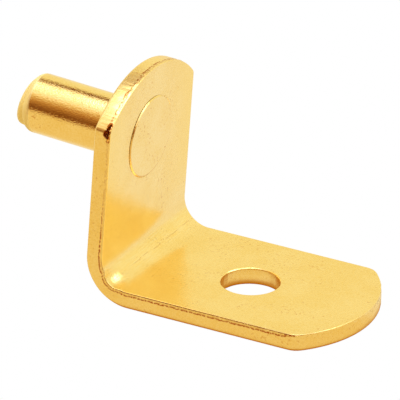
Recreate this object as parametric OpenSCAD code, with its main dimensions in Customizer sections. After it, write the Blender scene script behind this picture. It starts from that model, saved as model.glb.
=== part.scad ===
// Shelf support pin: a stamped and bent sheet bracket that carries the shelf on its flange, with a
// turned pin staked through its upright plate for the hole in the cabinet side.
//
// The origin is where the pin's axis meets the back of the plate. +X runs along the flange, away
// from the pin, +Y across the strip and +Z up, square to the flange. The bend is closed a little
// past square, so the plate leans over the flange and the pin's tip points slightly up.

/* [Strip] */
// Thickness of the sheet
sheet_t = 1.5; // [1:0.1:2.4]
// Width of the strip
strip_w = 14; // [11:0.5:17]
// Radius of the arcs across the strip's two ends
end_r = 9.5; // [9:0.1:18]

/* [Bend] */
// Radius of the inside of the bend
bend_r = 2.3; // [1:0.1:4]
// Angle between the plate and the flange
bend_angle = 86.7; // [80:0.1:95]

/* [Plate] */
// Length of the plate, from the outside corner of the bend to its top
plate_reach = 18.5; // [16:0.1:26]

/* [Flange] */
// Length of the flange, from the outside corner of the bend to its tip
flange_reach = 22.4; // [19:0.1:32]
// Bore of the screw hole
screw_hole_d = 4.85; // [3:0.05:5.5]
// Distance of the screw hole's centre from the flange's tip
screw_hole_inset = 10.8; // [8:0.1:12]
// Radius of the drawn-in upper rim of the screw hole
screw_hole_rim_r = 0.2; // [0.05:0.05:0.4]
// Height of the lower part of the screw hole, where the punch broke out
screw_hole_break_h = 0.6; // [0.3:0.05:0.8]
// How far the screw hole widens, all round, over that height
screw_hole_break_w = 0.3; // [0.05:0.05:0.4]

/* [Pin] */
// Diameter of the pin, which is the size of the hole that it goes in
pin_d = 5; // [4:0.1:6.5]
// Length of the pin that stands out of the plate's back
pin_l = 9.8; // [8:0.1:16]
// Distance of the pin's axis below the plate's top
pin_drop = 6.2; // [5:0.1:8]
// Diameter of the short stub at the pin's tip
stub_d = 3.9; // [3.2:0.1:4.4]
// Radius of the shoulder that the pin narrows to its stub by
nose_r = 0.9; // [0.5:0.1:1.2]
// Length of the stub, from the centre of the shoulder's radius
stub_l = 1.3; // [1:0.1:2]
// Radius of the stub's rim
stub_rim_r = 0.45; // [0.1:0.05:0.5]

/* [Staking] */
// Diameter of the spigot that passes through the plate
spigot_d = 3.6; // [2.6:0.1:3.8]
// Diameter of the head that is staked over on the plate's front
head_d = 6.95; // [5.5:0.05:7.5]
// Height of the staked head above the plate's front
head_proud = 0.1; // [0.05:0.01:0.4]
// Depth of the countersink that the head is staked into
countersink_h = 0.8; // [0.4:0.1:0.9]
// Gap around the spigot in its hole
spigot_gap = 0.02; // [0:0.01:0.1]

/* [Cut edges] */
// Radius of the drawn-in edge along the strip's outer face
outer_edge_r = 0.25; // [0.1:0.05:0.4]
// Radius of the broken edge along the strip's inner face
inner_edge_r = 0.1; // [0.05:0.05:0.2]
// Height of the fracture band along the strip's sides
side_fracture_h = 0.3; // [0.2:0.05:0.4]
// Height of the fracture band along the arcs at the strip's ends
end_fracture_h = 0.5; // [0.25:0.05:0.6]
// How far the fracture band falls back from the sheared face
fracture_in = 0.06; // [0.02:0.01:0.12]

/* [Hidden] */
$fn = 96;
brass = "#e6b454";

// How far a cutting tool runs past the face that it cuts
cut_over = 1;

// The bend, seen from the side
bend_outer_r = bend_r + sheet_t;
bend_turn = 180 - bend_angle;
half_turn = bend_turn / 2;
lean = 90 - bend_angle;
bend_setback = bend_outer_r * tan(half_turn);

// Straight lengths of the plate and the flange beyond the bend
plate_l = plate_reach - bend_setback;
flange_l = flange_reach - bend_setback;

// The bend's centre, and the flange's underside, as seen from the pin
pin_rise = plate_l - pin_drop;
bend_x = bend_outer_r * cos(lean) - pin_rise * sin(lean);
bend_z = -bend_outer_r * sin(lean) - pin_rise * cos(lean);
underside_z = bend_z - bend_outer_r;
screw_hole_x = bend_x + flange_l - screw_hole_inset;

// The pin and its staked head
pin_r = pin_d / 2;
shank_l = pin_l - stub_l;
spigot_r = spigot_d / 2;
head_r = head_d / 2;
countersink_z = countersink_h - sheet_t;

// Height that a circular arc rises over its chord
function arc_rise(r, chord) = r - sqrt(r * r - chord * chord / 4);

// Half of a sheared slab, from its middle to its cut edge, with the outer face along the x axis.
// The edge has a drawn-in corner, a smooth sheared face and a fracture band that falls back.
module sheared_half(half_w, fracture_h) {
    outer_w = half_w - outer_edge_r;
    top_w = half_w - fracture_in;
    inner_w = top_w - inner_edge_r;
    inner_h = sheet_t - inner_edge_r;
    translate([outer_w, outer_edge_r]) circle(outer_edge_r);
    translate([inner_w, inner_h]) circle(inner_edge_r);
    polygon([
        [0, 0],
        [outer_w, 0],
        [half_w, outer_edge_r],
        [half_w, sheet_t - fracture_h],
        [top_w, inner_h],
        [inner_w, sheet_t],
        [0, sheet_t]
    ]);
}

// Section of the strip, centred on its width
module strip_section() {
    sheared_half(strip_w / 2, side_fracture_h);
    mirror([1, 0]) sheared_half(strip_w / 2, side_fracture_h);
}

// Straight length of strip along +Z, with an arc across its far end
module arc_ended_strip(reach) {
    root_l = reach - arc_rise(end_r, strip_w) - sheet_t;
    linear_extrude(root_l) strip_section();
    intersection() {
        translate([0, 0, root_l]) linear_extrude(reach - root_l + cut_over) strip_section();
        translate([0, 0, reach - end_r]) rotate([-90, 0, 0])
            rotate_extrude() sheared_half(end_r, end_fracture_h);
    }
}

// One arm of the bracket, from the middle of the bend outwards: half of the bend and the straight
// strip that it leads into. The bend's axis is the y axis and its middle is straight below.
module arm(reach) {
    room = reach + bend_outer_r + strip_w;
    intersection() {
        rotate([0, -half_turn, 0]) {
            translate([0, 0, -bend_outer_r]) rotate([90, 0, 90]) arc_ended_strip(reach);
            rotate([-90, 90, 0]) rotate_extrude(angle = bend_turn)
                translate([bend_outer_r, 0]) rotate(90) strip_section();
        }
        translate([0, -room, -room]) cube(2 * room);
    }
}

// The flange and the plate, which meet in the middle of the bend
module bent_strip() {
    translate([bend_x, 0, bend_z]) rotate([0, half_turn, 0]) {
        arm(flange_l);
        mirror([1, 0, 0]) arm(plate_l);
    }
}

// Places its children on the pin's axis, with z towards the tip and 0 at the plate's back
module on_pin_axis() {
    rotate([0, lean - 90, 0]) children();
}

// Screw hole as it is punched from above: drawn-in upper rim, straight bore and a broken-out lower part
module screw_hole() {
    bore_r = screw_hole_d / 2;
    flare = screw_hole_break_w / screw_hole_break_h;
    translate([screw_hole_x, 0, underside_z]) {
        rotate_extrude() polygon([
            [0, -cut_over],
            [bore_r + screw_hole_break_w + flare * cut_over, -cut_over],
            [bore_r, screw_hole_break_h],
            [bore_r, sheet_t + cut_over],
            [0, sheet_t + cut_over]
        ]);
        translate([0, 0, sheet_t - screw_hole_rim_r]) rotate_extrude() difference() {
            square([bore_r + screw_hole_rim_r, screw_hole_rim_r + cut_over]);
            translate([bore_r + screw_hole_rim_r, 0]) circle(screw_hole_rim_r);
        }
    }
}

// Countersunk hole that the pin is staked through
module staking_hole() {
    hole_r = spigot_r + spigot_gap;
    flare = (head_r - hole_r) / countersink_h;
    on_pin_axis() rotate_extrude() polygon([
        [0, cut_over],
        [hole_r, cut_over],
        [hole_r, countersink_z],
        [head_r + flare * cut_over, -sheet_t - cut_over],
        [0, -sheet_t - cut_over]
    ]);
}

module bracket() {
    color(brass) difference() {
        bent_strip();
        screw_hole();
        staking_hole();
    }
}

// Outline of the pin outside the plate: straight shank, rounded shoulder and stub
module shank_outline() {
    stub_r = stub_d / 2;
    square([pin_r, shank_l]);
    translate([pin_r - nose_r, shank_l]) circle(nose_r);
    square([pin_r - nose_r, shank_l + nose_r]);
    square([stub_r, pin_l - stub_rim_r]);
    square([stub_r - stub_rim_r, pin_l]);
    translate([stub_r - stub_rim_r, pin_l - stub_rim_r]) circle(stub_rim_r);
}

// Outline of the pin inside the plate: staked head, countersunk neck and the spigot, which runs on
// into the shank
module staked_outline() {
    polygon([
        [0, -sheet_t - head_proud],
        [head_r - head_proud, -sheet_t - head_proud],
        [head_r, -sheet_t],
        [spigot_r, countersink_z],
        [spigot_r, shank_l],
        [0, shank_l]
    ]);
}

module pin() {
    color(brass) on_pin_axis() rotate_extrude() {
        shank_outline();
        staked_outline();
    }
}

bracket();
pin();
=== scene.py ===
"""Dresses the shelf support pin: a bent sheet bracket and the pin that is staked through its plate.

Both pieces are modelled in millimetres, each in a frame of its own: the strip lies flat along z, with
its outer face at x = 0, and the pin stands along z from the back of the plate. They are then bent,
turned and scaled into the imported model's frame, which is in metres.
"""

import logging
import math
from collections.abc import Callable, Iterator, Sequence
from contextlib import contextmanager
from dataclasses import dataclass, field
from enum import Enum

import bmesh
import bpy
from mathutils import Matrix, Vector


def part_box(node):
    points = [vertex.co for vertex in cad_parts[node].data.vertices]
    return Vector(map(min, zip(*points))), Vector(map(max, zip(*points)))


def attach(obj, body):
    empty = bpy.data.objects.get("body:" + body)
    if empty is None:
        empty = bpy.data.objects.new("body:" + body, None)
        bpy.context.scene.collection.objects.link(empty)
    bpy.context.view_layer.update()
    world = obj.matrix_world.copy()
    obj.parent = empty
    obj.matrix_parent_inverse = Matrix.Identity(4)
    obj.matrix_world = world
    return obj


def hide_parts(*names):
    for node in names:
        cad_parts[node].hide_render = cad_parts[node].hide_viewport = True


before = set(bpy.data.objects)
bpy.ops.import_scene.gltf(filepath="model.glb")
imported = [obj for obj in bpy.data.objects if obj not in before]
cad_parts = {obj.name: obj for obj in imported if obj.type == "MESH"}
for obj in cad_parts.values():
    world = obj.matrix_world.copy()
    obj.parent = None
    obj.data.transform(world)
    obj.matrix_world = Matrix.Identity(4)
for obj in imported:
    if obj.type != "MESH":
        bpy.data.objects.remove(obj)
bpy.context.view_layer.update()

Place = Callable[[Vector], bool]
Triple = tuple[float, float, float]
Colour = Triple
Span = tuple[float, float]
Socket = bpy.types.NodeSocket
Feed = Socket | float | tuple[float, ...]
Effects = dict[str, bpy.types.NodeTree]

BODY = "root"
BLANK_ATTRIBUTE = "blank"
# How torn the metal is at each vertex, which also holds painted shade in crevices and seams and along the
# flange's rim
TORN_AND_SHADE_ATTRIBUTE = "torn"
MM = 0.001
MICRON = 1e-6
# Points that are nearer to each other than this, in millimetres, count as one
MERGE = 1e-4
# Largest angle between faces that are shaded as one
SMOOTH_ANGLE = math.radians(35)
# Weight of large faces over small ones in the shading, which is the most that there is
FACE_WEIGHT = 100
QUARTER_TURN = math.pi / 2
X_AXIS = Vector((1, 0, 0))
Y_AXIS = Vector((0, 1, 0))
Z_AXIS = Vector((0, 0, 1))
ORIGIN = (0, 0, 0)
WHITE: Colour = (1.0, 1.0, 1.0)

# Depths into the sheet, in millimetres, where marks on its cut edge come in and where they die away
RIM_RISE: Span = (0.05, 0.2)
RIM_FALL: Span = (1.4, 1.48)
# Depths over which marks on the inside of the bend come in
INSIDE_RISE: Span = (1.2, 1.4)

# Light of the studio by the angle from straight up, in degrees, which falls to the back and rises to
# the front
SKY: tuple[tuple[float, Colour], ...] = (
    (-90, (0.975, 0.86, 0.49)),
    (-33, (0.975, 0.86, 0.49)),
    (-29, (1.25, 1.15, 0.93)),
    (23, (1.25, 1.15, 0.93)),
    (38, (0.95, 0.71, 0.35)),
    (52, (0.62, 0.30, 0.08)),
    (72, (0.32, 0.12, 0.028)),
    (90, (0.13, 0.04, 0.007)),
)

log = logging.getLogger("shelf_pin")


class Element(Enum):
    """What a selection in edit mode is made of."""

    VERTEX = "VERT"
    EDGE = "EDGE"
    FACE = "FACE"


class Joining(Enum):
    """How another piece's shape is worked into a piece."""

    CUT_OUT = "DIFFERENCE"
    WELD_ON = "UNION"


class Push(Enum):
    """Direction in which noise moves a vertex."""

    OUTWARDS = "NORMAL"
    ALONG_X = "X"


class Graph:
    """A node tree that is wired up as its nodes are added."""

    # Places of the Mix node's sockets for the share, the two colours and the mixed colour
    MIX_SHARE, MIX_FIRST, MIX_SECOND, MIX_RESULT = 0, 6, 7, 2

    def __init__(self, tree: bpy.types.NodeTree) -> None:
        """Empties a node tree.

        Args:
            tree: Tree to build in.
        """
        self.tree = tree
        tree.nodes.clear()

    def add(self, kind: str, inputs: dict[str | int, Feed], **settings: object) -> bpy.types.Node:
        """Adds a node, sets it up and feeds its inputs.

        Args:
            kind: Type of node, without the "ShaderNode" that every type starts with.
            inputs: A value, or the output that gives it, for each input by name or place.
            **settings: Values of the node's own properties.

        Returns:
            The new node.
        """
        node = self.tree.nodes.new(f"ShaderNode{kind}")
        for name, value in settings.items():
            setattr(node, name, value)
        for name, value in inputs.items():
            if isinstance(value, Socket):
                self.tree.links.new(value, node.inputs[name])
            else:
                node.inputs[name].default_value = value
        return node

    def effect(self, group: bpy.types.NodeTree, place: Socket, **values: Feed) -> Socket:
        """Adds a shared effect.

        Args:
            group: The effect's node group.
            place: Output with the place on the piece.
            **values: What the effect takes besides the place, by name.

        Returns:
            The output that the effect has.
        """
        return self.add("Group", {"Place": place, **values}, node_tree=group).outputs[0]

    def split(self, place: Socket) -> tuple[Socket, Socket, Socket]:
        """Takes a place or a direction apart.

        Args:
            place: Output with the place.

        Returns:
            The outputs with its x, y and z.
        """
        x, y, z = self.add("SeparateXYZ", {0: place}).outputs
        return x, y, z

    def measure(self, operation: str, *places: Feed) -> Socket:
        """Works out one value from places or directions.

        Args:
            operation: Name of the vector sum.
            *places: Places, or outputs that give them.

        Returns:
            The output with the result.
        """
        return self.add("VectorMath", dict(enumerate(places)), operation=operation).outputs["Value"]

    def math(self, operation: str, *values: Feed) -> Socket:
        """Works out one value from others.

        Args:
            operation: Name of the sum.
            *values: Values, or outputs that give them.

        Returns:
            The output with the result.
        """
        return self.add("Math", dict(enumerate(values)), operation=operation).outputs[0]

    def product(self, first: Socket, *others: Feed) -> Socket:
        """Multiplies values, in their order.

        Args:
            first: Output with the first value.
            *others: Further values, or outputs that give them.

        Returns:
            The output with the result.
        """
        for other in others:
            first = self.math("MULTIPLY", first, other)
        return first

    def between(self, share: Socket, low: float, high: float) -> Socket:
        """Goes from one value, where a share is 0, to another, where it is 1.

        Args:
            share: Output with the share.
            low: Value at 0.
            high: Value at 1.

        Returns:
            The output with the result.
        """
        return self.math("MULTIPLY_ADD", share, high - low, low)

    def fade(self, value: Feed, low: float, high: float) -> Socket:
        """Rises smoothly from 0 at one value to 1 at another.

        Args:
            value: Output to follow.
            low: Value that gives 0.
            high: Value that gives 1.

        Returns:
            The output with the result.
        """
        inputs = {"Value": value, "From Min": low, "From Max": high}
        return self.add("MapRange", inputs, interpolation_type="SMOOTHSTEP").outputs["Result"]

    def within(self, value: Feed, rise: Span, fall: Span) -> Socket:
        """Rises smoothly from 0 to 1 over one span of a value and falls to 0 over a later one.

        Args:
            value: Output to follow.
            rise: Values where the rise starts and ends.
            fall: Values where the fall starts and ends.

        Returns:
            The output with the result.
        """
        fall_start, fall_end = fall
        return self.product(self.fade(value, *rise), self.fade(value, fall_end, fall_start))

    def mix(self, share: Feed, first: Socket | Colour, second: Socket | Colour) -> Socket:
        """Mixes two colours.

        Args:
            share: Share of the second colour.
            first: First colour, or the output that gives it.
            second: Second colour, or the output that gives it.

        Returns:
            The output with the mixed colour.
        """
        inputs: dict[str | int, Feed] = {self.MIX_SHARE: share}
        for socket, colour in ((self.MIX_FIRST, first), (self.MIX_SECOND, second)):
            inputs[socket] = colour if isinstance(colour, Socket) else (*colour, 1)
        return self.add("Mix", inputs, data_type="RGBA").outputs[self.MIX_RESULT]

    def coat(self, under: Socket | Colour, share: Socket, most: float, colour: Colour) -> Socket:
        """Lays a colour over another one in places.

        Args:
            under: Colour that is coated.
            share: Output with the share that is covered.
            most: How much of the share the new colour takes.
            colour: The new colour.

        Returns:
            The output with the coated colour.
        """
        return self.mix(self.product(share, most), under, colour)

    def ramp(self, value: Feed, stops: Sequence[tuple[float, Colour]]) -> Socket:
        """Turns a value from 0 to 1 into a colour.

        Args:
            value: Output to follow.
            stops: Place and colour of each stop, in rising order.

        Returns:
            The output with the colour.
        """
        node = self.add("ValToRGB", {"Fac": value})
        elements = node.color_ramp.elements
        while len(elements) < len(stops):
            elements.new(1)
        for element, (place, colour) in zip(elements, stops):
            element.position = place
            element.color = (*colour, 1)
        return node.outputs["Color"]


class Effect(Graph):
    """A shared shader effect, kept as a node group."""

    def __init__(self, name: str, inputs: Sequence[str], output: str) -> None:
        """Starts a node group that takes a place and some values and puts out one value.

        Args:
            name: Name of the group.
            inputs: Names of the values that it takes besides the place.
            output: Name of the value that it puts out.
        """
        tree = bpy.data.node_groups.new(name, "ShaderNodeTree")
        super().__init__(tree)
        tree.interface.new_socket("Place", in_out="INPUT", socket_type="NodeSocketVector")
        for value in inputs:
            tree.interface.new_socket(value, in_out="INPUT", socket_type="NodeSocketFloat")
        tree.interface.new_socket(output, in_out="OUTPUT", socket_type="NodeSocketFloat")
        self.taken = tree.nodes.new("NodeGroupInput").outputs

    def put_out(self, value: Socket) -> bpy.types.NodeTree:
        """Ends the group with its output.

        Args:
            value: Output inside the group that it puts out.

        Returns:
            The finished group.
        """
        end = self.tree.nodes.new("NodeGroupOutput")
        self.tree.links.new(value, end.inputs[0])
        return self.tree

    def noise(self, scale: Feed, detail: float) -> Socket:
        """Cloudy noise at the group's place, from about 0 to 1.

        Args:
            scale: Number of features to a millimetre.
            detail: Number of finer layers on top.

        Returns:
            The output with the noise.
        """
        inputs = {"Vector": self.taken["Place"], "Scale": scale, "Detail": detail}
        return self.add("TexNoise", inputs).outputs["Fac"]

    def streaks(self, scales: Triple) -> Socket:
        """Noise at the group's place that is drawn out along some axes, from about 0 to 1.

        Args:
            scales: Number of features to a millimetre along each axis.

        Returns:
            The output with the noise.
        """
        drawn = self.add("VectorMath", {0: self.taken["Place"], 1: scales}, operation="MULTIPLY").outputs[0]
        return self.add("TexNoise", {"Vector": drawn, "Scale": 1.0, "Detail": 2.0}).outputs["Fac"]

    def inside_bend(self, rise: Span, fall: Span) -> Socket:
        """Share of the inside of the bend, where the group's place is on the flat strip.

        Args:
            rise: Places along the strip where the share comes in.
            fall: Places along the strip where it dies away.

        Returns:
            The output with the share.
        """
        depth, _, along = self.split(self.taken["Place"])
        return self.product(self.within(along, rise, fall), self.fade(depth, *INSIDE_RISE))


def orange_peel() -> bpy.types.NodeTree:
    """Height of a rolled and plated face: soft waves under a fine grain.

    Returns:
        The node group, which takes both heights in micrometres and the number of grains to a millimetre.
    """
    effect = Effect("orange peel", ("Wave", "Grain", "Fineness"), "Height")
    waves = effect.product(effect.noise(scale=0.55, detail=1), effect.taken["Wave"])
    grains = effect.noise(scale=effect.taken["Fineness"], detail=2)
    return effect.put_out(effect.math("ADD", waves, effect.product(grains, effect.taken["Grain"])))


def shear_marks() -> bpy.types.NodeTree:
    """Height of the streaks that shearing draws through the sheet's thickness.

    Returns:
        The node group, which takes a place on the flat strip and a height in micrometres.
    """
    effect = Effect("shear marks", ("Depth",), "Height")
    depth, _, _ = effect.split(effect.taken["Place"])
    streaks = effect.streaks(scales=(0.25, 4.0, 4.0))
    rim = effect.within(depth, RIM_RISE, RIM_FALL)
    return effect.put_out(effect.product(streaks, rim, effect.taken["Depth"]))


def bend_marks() -> bpy.types.NodeTree:
    """Height of the marks that the bending tool leaves across the inside of the bend.

    Returns:
        The node group, which takes a place on the flat strip and a height in micrometres.
    """
    effect = Effect("bend marks", ("Depth",), "Height")
    streaks = effect.streaks(scales=(0.0, 0.12, 6.0))
    inside = effect.inside_bend(rise=(-5.6, -4.2), fall=(-2.2, -1.0))
    return effect.put_out(effect.product(streaks, inside, effect.taken["Depth"]))


def bend_scuffs() -> bpy.types.NodeTree:
    """Share of the inside of the bend that the bending tool scuffed pale.

    Returns:
        The node group, which takes a place on the flat strip.
    """
    effect = Effect("bend scuffs", (), "Share")
    scuffs = effect.fade(effect.streaks(scales=(0.0, 0.5, 9.0)), low=0.45, high=0.70)
    inside = effect.inside_bend(rise=(-5.4, -4.0), fall=(-2.2, -0.8))
    return effect.put_out(effect.product(scuffs, inside))


def bend_crease() -> bpy.types.NodeTree:
    """Share of the thin dark crease that the bending tool's nose pressed along the middle of the bend.

    Returns:
        The node group, which takes a place on the flat strip.
    """
    effect = Effect("bend crease", (), "Share")
    depth, _, along = effect.split(effect.taken["Place"])
    wander = effect.between(effect.streaks(scales=(0.0, 0.3, 0.0)), low=-3.9, high=-3.1)
    away = effect.math("ABSOLUTE", effect.math("SUBTRACT", along, wander))
    line = effect.fade(away, low=0.09, high=0.02)
    breaks = effect.fade(effect.noise(scale=1.6, detail=3), low=0.42, high=0.58)
    return effect.put_out(effect.product(line, effect.fade(depth, *INSIDE_RISE), breaks))


def torn_grain_and_shade() -> bpy.types.NodeTree:
    """Share of dark grains along the line where the fracture starts: torn metal, with painted shade in its
    crevices.

    Returns:
        The node group, which takes a place on the flat strip and how torn the metal is there, with the
        shade that is painted there.
    """
    effect = Effect("torn grain and shade", ("Torn",), "Share")
    depth, _, _ = effect.split(effect.taken["Place"])
    between_faces = effect.within(depth, rise=(0.0, 0.02), fall=(1.44, 1.47))
    line = effect.product(effect.fade(effect.taken["Torn"], low=0.86, high=0.94), between_faces)
    grains = effect.fade(effect.noise(scale=5.0, detail=3), low=0.38, high=0.54)
    return effect.put_out(effect.product(grains, line))


def pitting() -> bpy.types.NodeTree:
    """Share of a face that is covered by small dark pits, which gather in patches.

    Returns:
        The node group.
    """
    effect = Effect("pitting", (), "Share")
    patch = effect.fade(effect.noise(scale=0.45, detail=1), low=0.42, high=0.62)
    pits = effect.fade(effect.noise(scale=4.2, detail=3), low=0.58, high=0.72)
    return effect.put_out(effect.product(patch, pits))


def edge_build_up() -> bpy.types.NodeTree:
    """Share by which the plating is thicker towards the sides of the plate.

    Returns:
        The node group, which takes a place on the flat strip.
    """
    effect = Effect("edge build-up", (), "Share")
    depth, across, along = effect.split(effect.taken["Place"])
    sides = effect.fade(effect.math("ABSOLUTE", across), low=2.5, high=7.0)
    plate = effect.fade(along, low=0.0, high=4.0)
    front = effect.fade(depth, low=1.44, high=1.49)
    return effect.put_out(effect.product(sides, effect.product(plate, front)))


def mottling() -> bpy.types.NodeTree:
    """Uneven depth of the plating, from thin to thick.

    Returns:
        The node group.
    """
    effect = Effect("mottling", (), "Share")
    fine_share, broad_share = 0.65, 0.35
    fine = effect.fade(effect.noise(scale=6.5, detail=2), low=0.3, high=0.7)
    broad = effect.fade(effect.noise(scale=0.35, detail=2), low=0.35, high=0.65)
    return effect.put_out(
        effect.math("MULTIPLY_ADD", fine, fine_share, effect.product(broad, broad_share))
    )


EFFECTS: tuple[Callable[[], bpy.types.NodeTree], ...] = (
    orange_peel,
    shear_marks,
    bend_marks,
    bend_scuffs,
    bend_crease,
    torn_grain_and_shade,
    pitting,
    edge_build_up,
    mottling,
)


@dataclass(frozen=True)
class Plating:
    """Bright brass plating over the worked metal under it. Heights in micrometres."""

    colour: Colour = (1.0, 0.834, 0.45)
    deep_colour: Colour = (0.95, 0.728, 0.283)
    tarnish: Colour = (0.72, 0.40, 0.13)
    roughness: float = 0.24
    wave: float = 22.0
    grain: float = 6.0
    fineness: float = 5.5
    pitting: float = 0.6
    mottling: float = 1.0

    def material(self, name: str, effects: Effects) -> bpy.types.Material:
        """Makes the finish as a material.

        Args:
            name: Name of the material.
            effects: Shared effects by name.

        Returns:
            The material.
        """
        material = bpy.data.materials.new(name)
        material.use_nodes = True
        graph = Graph(material.node_tree)
        place = self.place(graph)
        bump = graph.add("Bump", {"Distance": MICRON, "Height": self.height(graph, place, effects)})
        shader = graph.add(
            "BsdfPrincipled",
            {
                "Base Color": self.base(graph, place, effects),
                "Metallic": 1.0,
                "Roughness": self.polish(graph, place),
                "Normal": bump.outputs["Normal"],
            },
        )
        graph.add("OutputMaterial", {"Surface": shader.outputs["BSDF"]})
        return material

    def place(self, graph: Graph) -> Socket:
        """Place on the piece in millimetres.

        Args:
            graph: Material's nodes.

        Returns:
            The output with the place.
        """
        at = graph.add("TexCoord", {}).outputs["Object"]
        return graph.add("VectorMath", {0: at, "Scale": 1 / MM}, operation="SCALE").outputs[0]

    def height(self, graph: Graph, place: Socket, effects: Effects) -> Socket:
        """Height of the surface in micrometres.

        Args:
            graph: Material's nodes.
            place: Output with the place on the piece.
            effects: Shared effects by name.

        Returns:
            The output with the height.
        """
        values = {"Wave": self.wave, "Grain": self.grain, "Fineness": self.fineness}
        return graph.effect(effects["orange peel"], place, **values)

    def base(self, graph: Graph, place: Socket, effects: Effects) -> Socket:
        """Colour of the plating: mottled, with tarnish in the pits.

        Args:
            graph: Material's nodes.
            place: Output with the place on the piece.
            effects: Shared effects by name.

        Returns:
            The output with the colour.
        """
        depth, pits = (graph.effect(effects[name], place) for name in ("mottling", "pitting"))
        plated = graph.coat(self.colour, depth, self.mottling, self.deep_colour)
        return graph.coat(plated, pits, self.pitting, self.tarnish)

    def polish(self, graph: Graph, place: Socket) -> Feed:
        """Roughness of the plating.

        Args:
            graph: Material's nodes, not used here.
            place: Output with the place on the piece, not used here.

        Returns:
            The roughness, or the output with it.
        """
        return self.roughness


@dataclass(frozen=True)
class StripPlating(Plating):
    """Plating on the bent strip, laid out on the flat strip so that marks follow the bend."""

    shear_depth: float = 20.0
    bend_depth: float = 10.0
    # Dark colour of torn metal, which is also painted shade in crevices and seams and along the flange's
    # rim, and how much of it is laid on
    torn_and_shade_colour: Colour = (0.46, 0.13, 0.018)
    torn_and_shade_share: float = 1.0
    scuffed_colour: Colour = (1.0, 0.96, 0.80)
    scuffed_share: float = 0.3
    crease_share: float = 0.45
    built_up_colour: Colour = (1.0, 0.79, 0.30)
    built_up_share: float = 0.6
    # Duller sheared face of the plate's arc, and where along the strip it comes in
    arc_roughness: float = 0.32
    arc_from: float = 10.6
    arc_full: float = 11.6

    def place(self, graph: Graph) -> Socket:
        """Place on the flat strip in millimetres."""
        return graph.add("Attribute", {}, attribute_name=BLANK_ATTRIBUTE).outputs["Vector"]

    def height(self, graph: Graph, place: Socket, effects: Effects) -> Socket:
        """Adds the marks of shearing and bending to the plain face's height.

        Args:
            graph: Material's nodes.
            place: Output with the place on the flat strip.
            effects: Shared effects by name.

        Returns:
            The output with the height.
        """
        height = super().height(graph, place, effects)
        for name, depth in (("shear marks", self.shear_depth), ("bend marks", self.bend_depth)):
            height = graph.math("ADD", height, graph.effect(effects[name], place, Depth=depth))
        return height

    def base(self, graph: Graph, place: Socket, effects: Effects) -> Socket:
        """Adds thicker sides, the scuffs and the crease of the bend, and grains of torn metal with painted
        shade, to the plating.

        Args:
            graph: Material's nodes.
            place: Output with the place on the flat strip.
            effects: Shared effects by name.

        Returns:
            The output with the colour.
        """
        colour = super().base(graph, place, effects)
        for name, most, coating in (
            ("edge build-up", self.built_up_share, self.built_up_colour),
            ("bend scuffs", self.scuffed_share, self.scuffed_colour),
            ("bend crease", self.crease_share, self.tarnish),
        ):
            colour = graph.coat(colour, graph.effect(effects[name], place), most, coating)
        torn = graph.add("Attribute", {}, attribute_name=TORN_AND_SHADE_ATTRIBUTE).outputs["Fac"]
        grains = graph.effect(effects["torn grain and shade"], place, Torn=torn)
        return graph.coat(colour, grains, self.torn_and_shade_share, self.torn_and_shade_colour)

    def polish(self, graph: Graph, place: Socket) -> Feed:
        """Dulls the sheared face of the plate's arc.

        Args:
            graph: Material's nodes.
            place: Output with the place on the flat strip.

        Returns:
            The output with the roughness.
        """
        depth, _, along = graph.split(place)
        rim = graph.within(depth, RIM_RISE, RIM_FALL)
        arc = graph.product(rim, graph.fade(along, self.arc_from, self.arc_full))
        return graph.between(arc, self.roughness, self.arc_roughness)


@dataclass(frozen=True)
class PinPlating(Plating):
    """Plating on the pin, which is matt on the cropped stub at its tip. Lengths in millimetres."""

    roughness: float = 0.06
    wave: float = 12.0
    grain: float = 18.0
    fineness: float = 9.0
    pitting: float = 0.9
    tip_colour: Colour = (1.0, 0.94, 0.62)
    tip_roughness: float = 1.0
    tip_from: float = 8.35
    tip_full: float = 8.8
    # Painted shade in the seam round the staked head, where it meets the plate: its colour, where it starts
    # and how fast it comes in
    seam_shade_colour: Colour = (0.84, 0.58, 0.24)
    seam_r: float = 3.36
    seam_fade: float = 0.04

    def tip_share(self, graph: Graph, place: Socket) -> Socket:
        """Rises from 0 on the shank to 1 on the stub."""
        along, _, _ = graph.split(place)
        return graph.fade(along, -self.tip_from, -self.tip_full)

    def base(self, graph: Graph, place: Socket, effects: Effects) -> Socket:
        """Pales the colour towards the tip and paints shade on the rim of the staked head, in its seam
        against the plate.

        Args:
            graph: Material's nodes.
            place: Output with the place on the pin.
            effects: Shared effects by name.

        Returns:
            The output with the colour.
        """
        plated = super().base(graph, place, effects)
        _, y, z = graph.split(place)
        radius = graph.measure("LENGTH", graph.add("CombineXYZ", {1: y, 2: z}).outputs[0])
        seam = graph.fade(radius, self.seam_r, self.seam_r + self.seam_fade)
        seam_shaded = graph.mix(seam, plated, self.seam_shade_colour)
        return graph.mix(self.tip_share(graph, place), seam_shaded, self.tip_colour)

    def polish(self, graph: Graph, place: Socket) -> Feed:
        """Dulls the plating towards the tip."""
        return graph.between(self.tip_share(graph, place), self.roughness, self.tip_roughness)


@dataclass(frozen=True)
class Noise:
    """Cloudy noise that pushes a group of vertices in and out. Sizes in millimetres."""

    group: str
    push: Push
    height: float
    grain: float


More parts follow.
